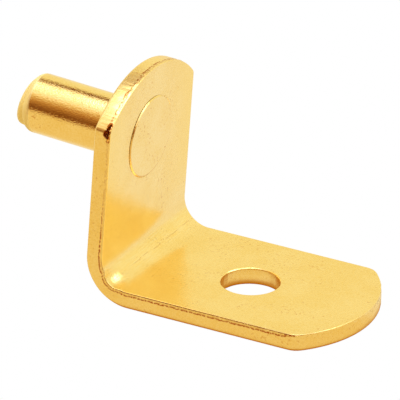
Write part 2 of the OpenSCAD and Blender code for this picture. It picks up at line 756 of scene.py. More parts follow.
class Workpiece:
    """A mesh object that is shaped with edit-mode operators, as on a bench."""

    def __init__(self, name: str, start: Vector) -> None:
        """Adds a plane and merges it to the single point that the outline starts from.

        Args:
            name: Name of the new object.
            start: Place of the first point, in millimetres.
        """
        bpy.ops.object.select_all(action="DESELECT")
        bpy.ops.mesh.primitive_plane_add(size=1)
        self.obj: bpy.types.Object = bpy.context.object
        self.obj.name = name
        self.obj.data.name = name
        with self.editing():
            bpy.ops.mesh.merge(type="CENTER")
            bpy.ops.transform.translate(value=start)
        self.pen = start.copy()

    def take_up(self) -> None:
        """Makes the piece the active one and the only one that is selected."""
        bpy.ops.object.select_all(action="DESELECT")
        self.obj.select_set(True)
        bpy.context.view_layer.objects.active = self.obj

    @contextmanager
    def editing(self) -> Iterator[None]:
        """Keeps the piece in edit mode for a block of calls, at first with all of it selected.

        Returns:
            The context of the block.
        """
        self.take_up()
        bpy.ops.object.mode_set(mode="EDIT")
        bpy.ops.mesh.select_mode(type=Element.VERTEX.value)
        bpy.ops.mesh.select_all(action="SELECT")
        try:
            yield
        finally:
            bpy.ops.object.mode_set(mode="OBJECT")

    def line_to(self, end: Vector) -> None:
        """Extrudes the outline's last point to a new one.

        Args:
            end: Place of the new point, in millimetres.
        """
        bpy.ops.mesh.extrude_region_move(TRANSFORM_OT_translate={"value": end - self.pen})
        self.pen = end.copy()

    def trace(self, *points: tuple[float, float]) -> None:
        """Draws straight lines along the section of a turned shape.

        Args:
            *points: Radius and height of each new point, in millimetres.
        """
        for radius, height in points:
            self.line_to(Vector((radius, 0, height)))

    def arc(self, centre: Vector, axis: Vector, angle: float, steps: int) -> None:
        """Spins the outline's last point round a centre.

        Args:
            centre: Centre of the arc, in millimetres.
            axis: Axis that it turns about.
            angle: Angle in radians, right-handed about the axis.
            steps: Number of straight steps that make up the arc.
        """
        bpy.ops.mesh.spin(steps=steps, angle=-angle, center=centre, axis=axis)
        self.pen = centre + Matrix.Rotation(angle, 3, axis) @ (self.pen - centre)

    def merge_points(self) -> None:
        """Selects everything and merges the points that lie on each other."""
        bpy.ops.mesh.select_all(action="SELECT")
        bpy.ops.mesh.remove_doubles(threshold=MERGE)

    def close_outline(self, start: Vector) -> None:
        """Draws the outline's last line and fills it with one face.

        Args:
            start: Place of the outline's first point, in millimetres.
        """
        self.line_to(start)
        self.merge_points()
        bpy.ops.mesh.edge_face_add()

    def close_shell(self) -> None:
        """Merges the points that lie on each other and turns every face outwards."""
        self.merge_points()
        bpy.ops.mesh.normals_make_consistent(inside=False)

    def revolve(self, steps: int) -> None:
        """Spins the whole outline once round the z axis into a closed shell.

        Args:
            steps: Number of steps in the full turn.
        """
        bpy.ops.mesh.select_all(action="SELECT")
        bpy.ops.mesh.spin(steps=steps, angle=math.tau, center=ORIGIN, axis=Z_AXIS)
        self.close_shell()

    def pick(self, element: Element, place: Place) -> None:
        """Selects the elements whose every vertex is in a place.

        Args:
            element: Kind of element to select.
            place: Test of a vertex's position, in millimetres.
        """
        bpy.ops.mesh.select_mode(type=element.value)
        bpy.ops.mesh.select_all(action="DESELECT")
        mesh = bmesh.from_edit_mesh(self.obj.data)
        if element is Element.VERTEX:
            for vertex in mesh.verts:
                vertex.select = place(vertex.co)
        else:
            for item in mesh.edges if element is Element.EDGE else mesh.faces:
                item.select = all(place(vertex.co) for vertex in item.verts)
        mesh.select_flush_mode()
        bmesh.update_edit_mesh(self.obj.data)

    def keep_long_edges(self, length: float) -> None:
        """Leaves only the selected edges that are longer than a length.

        Args:
            length: Shortest edge to keep, in millimetres.
        """
        mesh = bmesh.from_edit_mesh(self.obj.data)
        for edge in mesh.edges:
            edge.select = edge.select and edge.calc_length() > length
        mesh.select_flush_mode()
        bmesh.update_edit_mesh(self.obj.data)

    def turn(self, angle: float) -> None:
        """Turns what is selected about the y axis, right-handed by an angle in radians."""
        bpy.ops.transform.rotate(value=-angle, orient_axis="Y", center_override=ORIGIN)

    def lay_across(self, height: float, shift: float) -> None:
        """Turns a selected tool from the z axis to the strip's thickness and moves it along the strip.

        Args:
            height: Place of the tool's axis along the strip, in millimetres.
            shift: Place of the tool's axis across the strip, in millimetres.
        """
        self.turn(QUARTER_TURN)
        bpy.ops.transform.translate(value=(0, shift, height))

    def mark(self, name: str, value: Callable[[Vector], float]) -> None:
        """Keeps a value on every vertex for a finish.

        Args:
            name: Name of the attribute.
            value: Works out the value from a vertex's position, in millimetres.
        """
        mesh = self.obj.data
        marks = [value(vertex.co) for vertex in mesh.vertices]
        mesh.attributes.new(name, "FLOAT", "POINT").data.foreach_set("value", marks)

    def remember_places(self, name: str) -> None:
        """Keeps the place of every vertex, so that a finish can follow a later bend.

        Args:
            name: Name of the attribute.
        """
        mesh = self.obj.data
        places = [length for vertex in mesh.vertices for length in vertex.co]
        mesh.attributes.new(name, "FLOAT_VECTOR", "POINT").data.foreach_set("vector", places)

    def group(self, name: str, place: Place) -> None:
        """Gathers vertices in a named group.

        Args:
            name: Name of the vertex group.
            place: Test of a vertex's position, in millimetres.
        """
        found = [vertex.index for vertex in self.obj.data.vertices if place(vertex.co)]
        self.obj.vertex_groups.new(name=name).add(found, 1, "REPLACE")

    def displace(self, noise: Noise) -> None:
        """Pushes a group of vertices in and out.

        Args:
            noise: Noise that moves them, with the group's name.
        """
        name = f"{noise.group} noise"
        texture = bpy.data.textures.new(name, "CLOUDS")
        texture.noise_scale = noise.grain
        modifier = self.obj.modifiers.new(name, "DISPLACE")
        modifier.texture = texture
        modifier.vertex_group = noise.group
        modifier.direction = noise.push.value
        modifier.strength = noise.height
        self.apply(modifier)

    def work_in(self, other: "Workpiece", joining: Joining) -> None:
        """Works another piece's shape into this one and removes the other.

        Args:
            other: Closed piece that cuts this one or is welded to it.
            joining: Whether it cuts or is welded.
        """
        modifier = self.obj.modifiers.new("joining", "BOOLEAN")
        modifier.object = other.obj
        modifier.operation = joining.value
        modifier.solver = "EXACT"
        self.apply(modifier)
        bpy.data.objects.remove(other.obj)
        with self.editing():
            self.close_shell()

    def apply(self, modifier: bpy.types.Modifier) -> None:
        """Applies one of the piece's modifiers."""
        self.take_up()
        bpy.ops.object.modifier_apply(modifier=modifier.name)

    def place(self, turn: float, shift: Vector) -> None:
        """Turns the piece about the y axis, shifts it and scales it from millimetres to metres.

        Args:
            turn: Angle in radians, right-handed about y.
            shift: Shift after the turn, in millimetres.
        """
        with self.editing():
            self.turn(turn)
            bpy.ops.transform.translate(value=shift)
            bpy.ops.transform.resize(value=(MM, MM, MM), center_override=ORIGIN)

    def smooth(self) -> None:
        """Shades the piece smooth over its soft edges, with normals that keep its flat faces flat."""
        self.take_up()
        bpy.ops.object.shade_smooth_by_angle(angle=SMOOTH_ANGLE)
        modifier = self.obj.modifiers.new("flat faces", "WEIGHTED_NORMAL")
        modifier.keep_sharp = True
        modifier.weight = FACE_WEIGHT
        self.apply(modifier)

    def dress(self, node: str, plating: Plating, effects: Effects) -> None:
        """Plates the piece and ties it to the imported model.

        Args:
            node: Node whose place the piece takes.
            plating: Finish of the piece.
            effects: Shared effects by name.
        """
        slot = f"{node}_plating"
        self.obj.data.materials.append(plating.material(slot, effects))
        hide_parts(node)
        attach(self.obj, BODY)


@dataclass(frozen=True)
class ScrewHole:
    """The hole that is punched in the flange: rolled rim, bore and breakout. Sizes in millimetres."""

    r: float = 2.425
    # Distance of the centre from the flange's tip, and its shift to the far side
    inset: float = 10.7
    shift: float = -0.13
    rim_r: float = 0.14
    rim_lift: float = 0.015
    breakout_h: float = 0.6
    breakout_w: float = 0.16
    turn_steps: int = 96
    rim_steps: int = 10

    def punch(self, sheet_t: float, height: float) -> Workpiece:
        """Models the punch of the hole, which runs past the sheet by its thickness on both sides.

        Args:
            sheet_t: Thickness of the sheet.
            height: Place of the hole's centre along the flat strip.

        Returns:
            The punch, across the flat strip.
        """
        low, high = -sheet_t, 2 * sheet_t
        low_r = self.r + self.breakout_w / self.breakout_h * (self.breakout_h - low)
        rim = Vector((self.r + self.rim_r, 0, sheet_t - self.rim_r + self.rim_lift))
        punch = Workpiece("punch", Vector((0, 0, low)))
        with punch.editing():
            punch.trace((low_r, low), (self.r, self.breakout_h), (self.r, rim.z))
            punch.arc(rim, Y_AXIS, QUARTER_TURN, self.rim_steps)
            punch.trace((rim.x, high), (0, high))
            punch.revolve(self.turn_steps)
            punch.lay_across(height, self.shift)
        return punch


@dataclass(frozen=True)
class StakingHole:
    """The countersunk hole in the plate, with a shallow seam round the pin's head. Sizes in millimetres."""

    spigot_r: float = 1.82
    head_r: float = 3.54
    # Place of the hole as seen from the pin's axis
    shift: float = -0.045
    rise: float = 0.04
    seam_r: float = 3.41
    seam_h: float = 0.015
    countersink_h: float = 0.8
    turn_steps: int = 96

    def countersink(self, sheet_t: float, pin_rise: float) -> Workpiece:
        """Models the countersink, which runs past the sheet by its thickness on both sides.

        Args:
            sheet_t: Thickness of the sheet.
            pin_rise: Place of the pin's axis along the flat strip.

        Returns:
            The countersink, across the flat strip.
        """
        low, high = -sheet_t, 2 * sheet_t
        seam_z = sheet_t - self.seam_h
        tool = Workpiece("countersink", Vector((0, 0, low)))
        with tool.editing():
            tool.trace(
                (self.spigot_r, low),
                (self.spigot_r, sheet_t - self.countersink_h),
                (self.seam_r, seam_z),
                (self.head_r, seam_z),
                (self.head_r, high),
                (0, high),
            )
            tool.revolve(self.turn_steps)
            tool.lay_across(pin_rise + self.rise, self.shift)
        return tool


@dataclass(frozen=True)
class CornerChip:
    """The chip that tore out of the plate's near corner. Places on the flat strip, in millimetres."""

    # Wedge that leaves the sheet: its outline, how it runs inwards and how ragged it is
    corners: tuple[Triple, ...] = ((0.74, -7.40, 11.02), (1.34, -7.40, 10.40), (1.40, -6.75, 12.70))
    sweep: Triple = (0.12, 0.85, -0.25)
    taper: float = 0.35
    cuts: int = 3
    jag: float = 0.03
    seed: int = 4
    # Metal that is torn round the chip: its middle, its reach and how far it runs towards the outer face
    torn_x: float = 1.1
    torn_rise: float = 0.2
    torn_reach: float = 0.9
    torn_skin: float = 0.3

    def wedge(self) -> Workpiece:
        """Models the ragged wedge that leaves the sheet.

        Returns:
            The wedge, in place on the flat strip.
        """
        start, *others = (Vector(corner) for corner in self.corners)
        wedge = Workpiece("chip", start)
        with wedge.editing():
            for corner in others:
                wedge.line_to(corner)
            wedge.close_outline(start)
            bpy.ops.mesh.extrude_region_move(TRANSFORM_OT_translate={"value": self.sweep})
            bpy.ops.transform.resize(value=(self.taper, self.taper, self.taper))
            bpy.ops.mesh.select_all(action="SELECT")
            bpy.ops.mesh.subdivide(number_cuts=self.cuts)
            bpy.ops.transform.vertex_random(offset=self.jag, seed=self.seed)
            bpy.ops.mesh.normals_make_consistent(inside=False)
        return wedge


@dataclass(frozen=True)
class TearsAndShade:
    """How torn the metal is along the strip's edge, from 0 for smooth metal to 1, with painted shade in its
    crevices and seams, and its roughness.
    """

    full: float = 1.0
    # Painted shade along the flange's rim, over the inner edge's round in place of its highlight
    rim_shade: float = 0.96
    end_ledge: float = 0.93
    end_band: float = 0.89
    # Painted shade in the seam round the staked head
    staking: float = 0.89
    side_band: float = 0.885
    # Loss to a millimetre up the plate's side
    loss_up_side: float = 0.02
    # Noise in each group of the fracture band's vertices
    roughness: tuple[Noise, ...] = (
        Noise("ledge", Push.ALONG_X, height=0.10, grain=0.9),
        Noise("ledge", Push.ALONG_X, height=0.08, grain=0.25),
        Noise("end ledge", Push.ALONG_X, height=0.35, grain=0.7),
        Noise("band", Push.OUTWARDS, height=0.07, grain=0.2),
        Noise("end band", Push.OUTWARDS, height=0.12, grain=0.17),
    )


@dataclass
class Bracket:
    """The bent strip: upright plate, bend and flange. Sizes in millimetres, angles in degrees."""

    sheet_t: float = 1.5
    strip_w: float = 14.0
    end_r: float = 9.5
    plate_corner_r: float = 0.6
    flange_corner_r: float = 1.5
    bend_r: float = 2.3
    bend_angle: float = 86.7
    plate_reach: float = 18.5
    flange_reach: float = 22.4
    pin_drop: float = 6.2
    # Rounds and fracture band of the sheared edge
    outer_edge_r: float = 0.25
    inner_edge_r: float = 0.05
    fracture_h: float = 0.28
    end_fracture_h: float = 0.36
    fracture_in: float = 0.025
    # Width of the painted shade along the flange's rim
    rim_shade_w: float = 0.05
    # Painted shade in the crease at the flange's near corner: where it runs past the corner, and the depth
    # that it starts at
    corner_shade: Span = (-0.2, 0.75)
    corner_shade_x: float = 1.3
    # Dent in the bend: its depth, its width, its middle and the length that is pressed flat
    dent: float = 0.26
    dent_w: float = 1.6
    dent_z: float = -3.5
    dent_l: float = 0.8
    # Fineness of the mesh, with narrow faces that hold the flats flat
    hold_w: float = 0.1
    score_w: float = 0.1
    score_count: int = 18
    end_steps: int = 96
    corner_steps: int = 4
    bend_steps: int = 36
    round_steps: int = 5
    band_steps: int = 4
    # What is cut out of the strip and how it is finished
    screw_hole: ScrewHole = ScrewHole()
    staking_hole: StakingHole = StakingHole()
    chip: CornerChip = CornerChip()
    tears_and_shade: TearsAndShade = TearsAndShade()
    plating: StripPlating = StripPlating()
    lean: float = field(init=False)
    bend_outer_r: float = field(init=False)
    bend_l: float = field(init=False)
    plate_l: float = field(init=False)
    flange_l: float = field(init=False)

    def __post_init__(self) -> None:
        """Works out the lengths of the flat strip."""
        turn = math.radians(180 - self.bend_angle)
        self.lean = math.radians(90 - self.bend_angle)
        self.bend_outer_r = self.bend_r + self.sheet_t
        self.bend_l = self.bend_outer_r * turn
        setback = self.bend_outer_r * math.tan(turn / 2)
        self.plate_l = self.plate_reach - setback
        self.flange_l = self.flange_reach - setback

    @property
    def pin_rise(self) -> float:
        """Height of the pin's axis above the bend, along the plate."""
        return self.plate_l - self.pin_drop

    @property
    def tip_z(self) -> float:
        """Place of the flange's tip on the flat strip."""
        return -self.bend_l - self.flange_l

    @property
    def screw_hole_z(self) -> float:
        """Place of the screw hole's centre on the flat strip."""
        return self.tip_z + self.screw_hole.inset

    @property
    def plate_corner_z(self) -> float:
        """Height on the flat strip where the plate's straight sides end."""
        return self.plate_l - self.end_r + self.corner_rise(self.plate_corner_r)

    @property
    def flange_corner_z(self) -> float:
        """Height on the flat strip where the flange's straight sides end."""
        return self.tip_z + self.end_r - self.corner_rise(self.flange_corner_r)

    @property
    def sheared_x(self) -> float:
        """Depth from the outer face where the sheared face ends and the fracture band starts."""
        return self.sheet_t - self.fracture_h

    @property
    def ledge_x(self) -> float:
        """Depth from the outer face where the fracture band starts across the strip's ends."""
        return self.sheet_t - self.end_fracture_h

    @property
    def rim_x(self) -> float:
        """Depth from the outer face where the fracture band ends and the inner edge's round starts."""
        return self.sheet_t - self.inner_edge_r

    @property
    def edge_w(self) -> float:
        """Width of the strip's rim, inside of which lie its flat faces."""
        return self.outer_edge_r + self.hold_w

    @property
    def bend_centre(self) -> Vector:
        """Centre of the bend, seen from where the pin's axis meets the plate's back."""
        along = Vector((math.sin(self.lean), 0, math.cos(self.lean)))
        across = Vector((math.cos(self.lean), 0, -math.sin(self.lean)))
        return across * self.bend_outer_r - along * self.pin_rise

    def corner_rise(self, radius: float) -> float:
        """Height of a rounded corner's centre above the centre of the end's arc."""
        return math.sqrt((self.end_r - radius) ** 2 - (self.strip_w / 2 - radius) ** 2)

    def flange_x(self, z: float) -> float:
        """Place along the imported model's x axis of a place on the flange's part of the flat strip."""
        return self.bend_centre.x - self.bend_l - z

    def build(self) -> Workpiece:
        """Models the bracket: flat blank, sheared edge, holes, bend.

        Returns:
            The finished piece, in place.
        """
        strip = self.blank()
        self.shear_edges(strip)
        self.score_bend(strip)
        self.divide_sides(strip)
        self.deepen_ends(strip)
        for tool in (
            self.screw_hole.punch(self.sheet_t, self.screw_hole_z),
            self.staking_hole.countersink(self.sheet_t, self.pin_rise),
            self.chip.wedge(),
        ):
            strip.work_in(tool, Joining.CUT_OUT)
        strip.mark(TORN_AND_SHADE_ATTRIBUTE, self.torn)
        self.tear_fracture(strip)
        self.dent_bend(strip)
        strip.remember_places(BLANK_ATTRIBUTE)
        self.bend(strip)
        strip.place(self.lean, self.bend_centre)
        strip.smooth()
        return strip

    def dress(self, strip: Workpiece, effects: Effects) -> None:
        """Plates the finished bracket, which takes the place of the node of that name."""
        strip.dress("bracket", self.plating, effects)

    def blank(self) -> Workpiece:
        """Draws the flat strip's outline, straight sides and an arc across each end, as one face.

        Returns:
            The blank, at the depth where the sheared face starts.
        """
        half_w = self.strip_w / 2
        x = self.outer_edge_r
        start = Vector((x, half_w, self.plate_corner_z))
        strip = Workpiece("bent_bracket", start)
        with strip.editing():
            for side, corner_r, corner_z, arc_z in (
                (1, self.plate_corner_r, self.plate_corner_z, self.plate_l - self.end_r),
                (-1, self.flange_corner_r, self.flange_corner_z, self.tip_z + self.end_r),
            ):
                corner_y = half_w - corner_r
                half_arc = math.atan2(corner_y, self.corner_rise(corner_r))
                corner_turn = QUARTER_TURN - half_arc
                strip.line_to(Vector((x, side * half_w, corner_z)))
                strip.arc(Vector((x, side * corner_y, corner_z)), X_AXIS, corner_turn, self.corner_steps)
                strip.arc(Vector((x, 0, arc_z)), X_AXIS, 2 * half_arc, self.end_steps)
                strip.arc(Vector((x, -side * corner_y, corner_z)), X_AXIS, corner_turn, self.corner_steps)
            strip.close_outline(start)
        return strip

    def shear_edges(self, strip: Workpiece) -> None:
        """Raises the blank to its thickness with a drawn-in corner, sheared face and fracture band.

        Args:
            strip: The blank's outline face.
        """
        with strip.editing():
            bpy.ops.mesh.extrude_region_move(
                TRANSFORM_OT_translate={"value": (self.sheared_x - self.outer_edge_r, 0, 0)}
            )
            bpy.ops.mesh.select_all(action="SELECT")
            bpy.ops.mesh.normals_make_consistent(inside=False)
            strip.pick(Element.FACE, lambda p: p.x > self.sheared_x - MERGE)
            for _ in range(self.band_steps):
                bpy.ops.mesh.inset(
                    thickness=self.fracture_in / self.band_steps,
                    depth=(self.fracture_h - self.inner_edge_r) / self.band_steps,
                )
            self.round_over(self.inner_edge_r)
            strip.pick(Element.FACE, lambda p: p.x < self.outer_edge_r + MERGE)
            self.round_over(self.outer_edge_r)

    def round_over(self, radius: float) -> None:
        """Rounds the selected face's edge over to a flat, by insets along a quarter circle.

        Args:
            radius: Radius of the round.
        """
        turns = [step * QUARTER_TURN / self.round_steps for step in range(self.round_steps + 1)]
        for before, after in zip(turns, turns[1:]):
            bpy.ops.mesh.inset(
                thickness=radius * (math.cos(before) - math.cos(after)),
                depth=radius * (math.sin(after) - math.sin(before)),
            )
        bpy.ops.mesh.inset(thickness=self.hold_w, depth=0)

    def score_bend(self, strip: Workpiece) -> None:
        """Cuts the strip across at each step of the bend, and the bend along its near side.

        Args:
            strip: The flat strip.
        """
        with strip.editing():
            for step in range(self.bend_steps + 1):
                z = -self.bend_l * step / self.bend_steps
                bpy.ops.mesh.select_all(action="SELECT")
                bpy.ops.mesh.bisect(plane_co=(0, 0, z), plane_no=Z_AXIS)
            for step in range(self.score_count):
                y = self.edge_w + self.score_w * step - self.strip_w / 2
                strip.pick(Element.FACE, lambda p: -self.bend_l - MERGE < p.z < MERGE)
                bpy.ops.mesh.bisect(plane_co=(0, y, 0), plane_no=Y_AXIS)

    def divide_sides(self, strip: Workpiece) -> None:
        """Divides the straight sides as finely as the arcs, so that the torn band can follow them.

        Args:
            strip: The flat strip.
        """
        rim_y = self.strip_w / 2 - self.outer_edge_r - MERGE
        pitch = self.end_r * QUARTER_TURN / self.end_steps
        spans = ((0.0, self.plate_corner_z), (self.flange_corner_z, -self.bend_l))
        with strip.editing():
            for low, high in spans:
                strip.pick(
                    Element.EDGE,
                    lambda p: abs(p.y) > rim_y and min(abs(p.z - low), abs(p.z - high)) < self.hold_w,
                )
                strip.keep_long_edges((high - low) / 2)
                bpy.ops.mesh.subdivide(number_cuts=round((high - low) / pitch))

    def deepen_ends(self, strip: Workpiece) -> None:
        """Makes the fracture band deeper across both ends than along the sides.

        Args:
            strip: The flat strip.
        """
        with strip.editing():
            strip.pick(Element.VERTEX, lambda p: self.at_end(p) and abs(p.x - self.sheared_x) < MERGE)
            bpy.ops.transform.translate(value=(self.fracture_h - self.end_fracture_h, 0, 0))

    def at_end(self, point: Vector) -> bool:
        """Tells whether a point of the flat strip is beyond its straight sides."""
        return not self.flange_corner_z - MERGE < point.z < self.plate_corner_z + MERGE

    def on_edge(self, point: Vector) -> bool:
        """Tells whether a point of the flat strip is in the rim along its sides and ends.

        Args:
            point: Place on the flat strip.

        Returns:
            Whether it is there.
        """
        rises = (point.z - self.plate_l + self.end_r, self.tip_z + self.end_r - point.z)
        arc_r = self.end_r - self.edge_w
        at_arc = any(rise > 0 and math.hypot(point.y, rise) > arc_r for rise in rises)
        return at_arc or abs(point.y) > self.strip_w / 2 - self.edge_w

    def in_band(self, point: Vector) -> bool:
        """Tells whether a point of the flat strip is in the fracture band or on the edge it starts at."""
        return self.on_edge(point) and self.ledge_x - MERGE < point.x < self.rim_x - MERGE

    def in_chip(self, point: Vector) -> bool:
        """Tells whether a point of the flat strip is in the chipped corner or close by it.

        Args:
            point: Place on the flat strip.

        Returns:
            Whether it is there.
        """
        chip = self.chip
        middle = Vector((chip.torn_x, -self.strip_w / 2, self.plate_corner_z + chip.torn_rise))
        return (point - middle).length < chip.torn_reach and point.x > middle.x - chip.torn_skin

    def in_staking(self, point: Vector) -> bool:
        """Tells whether a point of the flat strip is in the countersink or its rim, which get painted shade
        in the seam round the pin's head.
        """
        low, high = self.staking_hole.spigot_r + self.hold_w, self.staking_hole.head_r + self.edge_w
        return low < math.hypot(point.y, point.z - self.pin_rise) < high and not self.on_edge(point)

    def in_screw_hole(self, point: Vector) -> bool:
        """Tells whether a point of the flat strip is on the screw hole's wall.

        Args:
            point: Place on the flat strip.

        Returns:
            Whether it is there.
        """
        hole = self.screw_hole
        away = math.hypot(point.y - hole.shift, point.z - self.screw_hole_z)
        return away < hole.r + hole.breakout_w + MERGE

    def in_corner_shade(self, point: Vector) -> bool:
        """Tells whether a point of the flat strip is in the painted shade of the crease at the flange's
        near corner.

        Args:
            point: Place on the flat strip.

        Returns:
            Whether it is there.
        """
        low, high = self.corner_shade
        at_corner = point.y < 0 and low < self.flange_corner_z - point.z < high
        return at_corner and self.corner_shade_x < point.x < self.rim_x + MERGE and self.on_edge(point)

    def on_rim_shade(self, point: Vector) -> bool:
        """Tells whether a point of the flat strip is on the line where the flange's band meets its face,
        which gets painted shade over the round's highlight.
        """
        at_rim = self.rim_x - self.rim_shade_w < point.x < self.rim_x + MERGE
        return at_rim and self.flange_corner_z < point.z < 0 and self.on_edge(point)

    def torn(self, point: Vector) -> float:
        """Tells how torn the metal is at a point of the flat strip, and how much shade is painted there.

        Args:
            point: Place on the flat strip, before its edge is torn.

        Returns:
            A value from 0, for smooth metal, to 1.
        """
        # The staking seam, the corner's crease and the flange's rim get painted shade; the chip and the
        # breakout get torn metal
        places: tuple[tuple[Place, float], ...] = (
            (self.in_chip, self.tears_and_shade.full),
            (self.in_staking, self.tears_and_shade.staking),
            (self.in_screw_hole, self.tears_and_shade.full if point.x < MERGE else 0.0),
            (self.in_corner_shade, self.tears_and_shade.full),
            (self.on_rim_shade, self.tears_and_shade.rim_shade),
        )
        for place, level in places:
            if place(point):
                return level
        return self.band_torn_and_shade(point)

    def band_torn_and_shade(self, point: Vector) -> float:
        """Tells how torn the metal is along the plate's and the bend's fracture band, with painted shade in
        the crevices along its ledge.

        Args:
            point: Place on the flat strip, before its edge is torn.

        Returns:
            A value from 0, for smooth metal, to 1, which is highest on the edge that the band starts at.
        """
        tears_and_shade = self.tears_and_shade
        if not self.in_band(point) or point.z < self.flange_corner_z:
            return 0.0
        if point.z > self.plate_corner_z:
            return tears_and_shade.end_band if point.x > self.ledge_x + MERGE else tears_and_shade.end_ledge
        if point.x > self.sheared_x + MERGE:
            return tears_and_shade.side_band
        return max(tears_and_shade.full - tears_and_shade.loss_up_side * max(point.z, 0), tears_and_shade.side_band)

    def tear_fracture(self, strip: Workpiece) -> None:
        """Roughens the fracture band and lets its edge against the sheared face wander.

        Args:
            strip: The flat strip.
        """
        places: dict[str, Place] = {
            "ledge": lambda p: self.in_band(p) and p.x < self.sheared_x + MERGE,
            "end ledge": lambda p: self.in_band(p) and p.x < self.ledge_x + MERGE,
            "band": self.in_band,
            "end band": lambda p: self.at_end(p) and self.in_band(p) and p.x > self.ledge_x + MERGE,
        }
        for name, place in places.items():
            strip.group(name, place)
        for noise in self.tears_and_shade.roughness:
            strip.displace(noise)

    def dent_bend(self, strip: Workpiece) -> None:
        """Dents the near edge of the bend's inside, where the bending tool squeezed the sheet.

        Args:
            strip: The flat strip.
        """
        with strip.editing():
            strip.pick(
                Element.VERTEX,
                lambda p: abs(p.z - self.dent_z) < self.dent_l / 2
                and -p.y > self.strip_w / 2 - self.edge_w
                and p.x > self.rim_x,
            )
            bpy.ops.transform.translate(
                value=(-self.dent, 0, 0),
                use_proportional_edit=True,
                proportional_edit_falloff="SMOOTH",
                proportional_size=self.dent_w,
            )

    def bend(self, strip: Workpiece) -> None:
        """Bends the strip about its outer face and moves the bend's centre to the origin.

        Args:
            strip: The flat strip.
        """
        heights = [vertex.co.z for vertex in strip.obj.data.vertices]
        low, high = min(heights), max(heights)
        modifier = strip.obj.modifiers.new("bend", "SIMPLE_DEFORM")
        modifier.deform_method = "BEND"
        modifier.deform_axis = "Y"
        modifier.angle = math.radians(180 - self.bend_angle)
        modifier.limits = ((-self.bend_l - low) / (high - low), -low / (high - low))
        strip.apply(modifier)
        with strip.editing():
            bpy.ops.transform.translate(value=(-self.bend_outer_r, 0, 0))


@dataclass
class Pin:
    """The pin: stub, shoulder, shank, spigot and staked head. Sizes in millimetres."""

    lean: float
    pin_r: float = 2.5
    shank_l: float = 8.63
    nose_r: float = 0.7
    stub_r: float = 2.11
    stub_l: float = 1.7
    stub_rim_r: float = 0.39
    stub_end: float = 9.84
    stub_rise: float = 0.07
    stub_tilt: float = math.radians(10.3)
    spigot_r: float = 1.8
    head_r: float = 3.475
    head_proud: float = 0.1
    countersink_h: float = 0.8
    sheet_t: float = 1.5
    turn_steps: int = 128
    round_steps: int = 8
    plating: PinPlating = PinPlating()

    def build(self) -> Workpiece:
        """Models the pin and sets it in the plate.

        Returns:
            The finished piece, in place.
        """
        pin = self.shank()
        pin.work_in(self.stub(), Joining.WELD_ON)
        pin.place(self.lean - QUARTER_TURN, Vector())
        pin.smooth()
        return pin

    def dress(self, pin: Workpiece, effects: Effects) -> None:
        """Plates the finished pin, which takes the place of the node of that name."""
        pin.dress("pin", self.plating, effects)

    def shank(self) -> Workpiece:
        """Models the pin without its stub, by spinning its outline from the shoulder to the staked head.

        Returns:
            The shank, along the z axis.
        """
        shoulder = Vector((self.pin_r - self.nose_r, 0, self.shank_l))
        shoulder_z = self.shank_l + self.nose_r
        front = -self.sheet_t
        head_z = front - self.head_proud
        pin = Workpiece("staked_pin", Vector((0, 0, shoulder_z)))
        with pin.editing():
            pin.trace((shoulder.x, shoulder_z))
            pin.arc(shoulder, Y_AXIS, QUARTER_TURN, self.round_steps)
            pin.trace(
                (self.pin_r, 0),
                (self.spigot_r, 0),
                (self.spigot_r, front + self.countersink_h),
                (self.head_r, front),
                (self.head_r - self.head_proud, head_z),
                (0, head_z),
            )
            pin.revolve(self.turn_steps)
        return pin

    def stub(self) -> Workpiece:
        """Models the cropped stub, which sits a little high and askew on the pin.

        Returns:
            The stub, with its root inside the shank.
        """
        rim = Vector((self.stub_r - self.stub_rim_r, 0, -self.stub_rim_r))
        stub = Workpiece("stub", Vector())
        with stub.editing():
            stub.trace((rim.x, 0))
            stub.arc(rim, Y_AXIS, QUARTER_TURN, self.round_steps)
            stub.trace((self.stub_r, -self.stub_l), (0, -self.stub_l))
            stub.revolve(self.turn_steps)
            stub.turn(self.stub_tilt)
            bpy.ops.transform.translate(value=(self.stub_rise, 0, self.stub_end))
        return stub


@dataclass(frozen=True)
class Lamp:
    """A round soft lamp, far away. Angles in radians from the lamp's middle."""

    towards: Triple
    edge: float
    core: float
    light: float

    def glow(self, graph: Graph, direction: Socket) -> Socket:
        """Strength of the lamp's light from a direction.

        Args:
            graph: World's nodes.
            direction: Output with the direction.

        Returns:
            The output with the strength.
        """
        nearness = graph.measure("DOT_PRODUCT", direction, self.towards)
        return graph.product(graph.fade(nearness, math.cos(self.edge), math.cos(self.core)), self.light)


